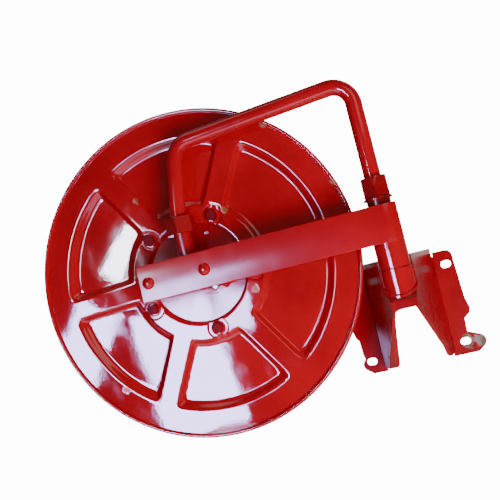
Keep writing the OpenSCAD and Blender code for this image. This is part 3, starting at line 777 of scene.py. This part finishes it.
def soft_light(name, place, target, size, power, colour, turn=0.0, lights=True, shines=True):
    """A rectangular soft light at a place, turned to a target and then about its own middle.
    lights says whether it lights the object, and shines whether gloss paint mirrors it."""
    data = bpy.data.lights.new(name, "AREA")
    data.shape = "RECTANGLE"
    data.size, data.size_y = size
    data.energy = power
    data.color = colour
    light = bpy.data.objects.new(name, data)
    light.location = place
    aim = (Vector(target) - Vector(place)).to_track_quat("-Z", "Y").to_matrix()
    light.rotation_euler = (aim @ Matrix.Rotation(np.radians(turn), 3, "Z")).to_euler()
    light.visible_camera = False
    light.visible_diffuse = lights
    light.visible_glossy = shines
    bpy.context.scene.collection.objects.link(light)


def window_pane(name, x, z, size, brightness, colour, turn=0.0):
    """A bright pane that is only seen mirrored in gloss paint. It stands in the room facing the
    reel, and its power grows with its area, so panes of one brightness look the same."""
    power = brightness * size[0] * size[1]
    soft_light(name, (x, WINDOW_Y, z), (x, 0, z), size, power, colour, turn, lights=False)


def camera_at(azimuth, elevation, roll, distance, target, lens):
    """A camera at a distance from its target. Azimuth 0 looks along +Y; roll turns the view."""
    az, el, turn = np.radians([azimuth, elevation, roll])
    look = np.array([-np.sin(az) * np.cos(el), np.cos(az) * np.cos(el), -np.sin(el)])
    level = np.array([np.cos(az), np.sin(az), 0.0])
    above = np.cross(level, look)
    right = np.cos(turn) * level + np.sin(turn) * above
    up = np.cos(turn) * above - np.sin(turn) * level
    place = np.array(target) - look * distance
    data = bpy.data.cameras.new("camera")
    data.lens = lens
    data.sensor_width = SENSOR_WIDTH
    camera = bpy.data.objects.new("camera", data)
    camera.matrix_world = Matrix((
        (right[0], up[0], -look[0], place[0]),
        (right[1], up[1], -look[1], place[1]),
        (right[2], up[2], -look[2], place[2]),
        (0, 0, 0, 1),
    ))
    bpy.context.scene.collection.objects.link(camera)
    bpy.context.scene.camera = camera


def room_light(colour, strength, backdrop_glow):
    """The world: an even, weak light, which the camera sees as the same white as the stage."""
    world = bpy.data.worlds.new("world")
    world.use_nodes = True
    tree = world.node_tree
    background = tree.nodes["Background"]
    background.inputs["Color"].default_value = (*colour, 1)
    sight = tree.nodes.new("ShaderNodeLightPath").outputs["Is Camera Ray"]
    glow = times(tree, sight, backdrop_glow)
    tree.links.new(plus(tree, glow, strength), background.inputs["Strength"])
    bpy.context.scene.world = world


stage_sweep()
room_light((1.0, 0.98, 0.98), strength=0.1, backdrop_glow=STAGE_GLOW)

WARM, COOL = (1.0, 0.95, 0.92), (0.74, 0.78, 1.0)
LAVENDER, PINKISH = (0.50, 0.48, 1.0), (1.0, 0.55, 0.85)

# panes that the front disc mirrors
WINDOW_Y = -3.0
window_pane("middle_pane", x=-1.30, z=-0.23, size=(0.49, 0.74), brightness=250, colour=LAVENDER, turn=6)
window_pane("hub_pane", x=-0.96, z=0.03, size=(0.19, 0.23), brightness=200, colour=LAVENDER, turn=-8)
window_pane("left_pane", x=-1.91, z=-0.03, size=(0.27, 0.62), brightness=250, colour=LAVENDER, turn=-35)
window_pane("low_pane", x=-1.45, z=-0.74, size=(0.90, 0.20), brightness=120, colour=PINKISH, turn=3)
window_pane("high_pane", x=-1.53, z=0.50, size=(0.13, 0.33), brightness=300, colour=COOL, turn=-40)

# soft lights: a shine from below, a key from the right and low, one high up, a top and a back light
soft_light("floor_shine", place=(-0.5, -1.2, -1.2), target=(-0.3, -0.15, 0.2), size=(2.4, 1.2),
           power=22, colour=PINKISH, lights=False)
soft_light("key", place=(0.5, -1.35, -0.5), target=(-0.2, -0.1, 0.05), size=(0.8, 0.8),
           power=21, colour=WARM, shines=False)
soft_light("high_key", place=(1.5, -2.6, 1.5), target=(-0.2, -0.1, 0.1), size=(1.4, 1.4),
           power=8, colour=WARM)
soft_light("top_light", place=(-0.9, -0.7, 2.4), target=(-0.2, -0.1, 0.2), size=(1.2, 0.8),
           power=3, colour=WARM)
soft_light("back_light", place=(0.9, 2.2, 1.4), target=(-0.2, -0.1, 0.1), size=(3.0, 3.0),
           power=25, colour=WARM)

aim = (REEL.x + VIEW_ASIDE, FRONT_FACE, REEL.z + VIEW_ABOVE)
camera_at(VIEW_AZIMUTH, VIEW_ELEVATION, VIEW_ROLL, VIEW_DISTANCE, aim, LENS)
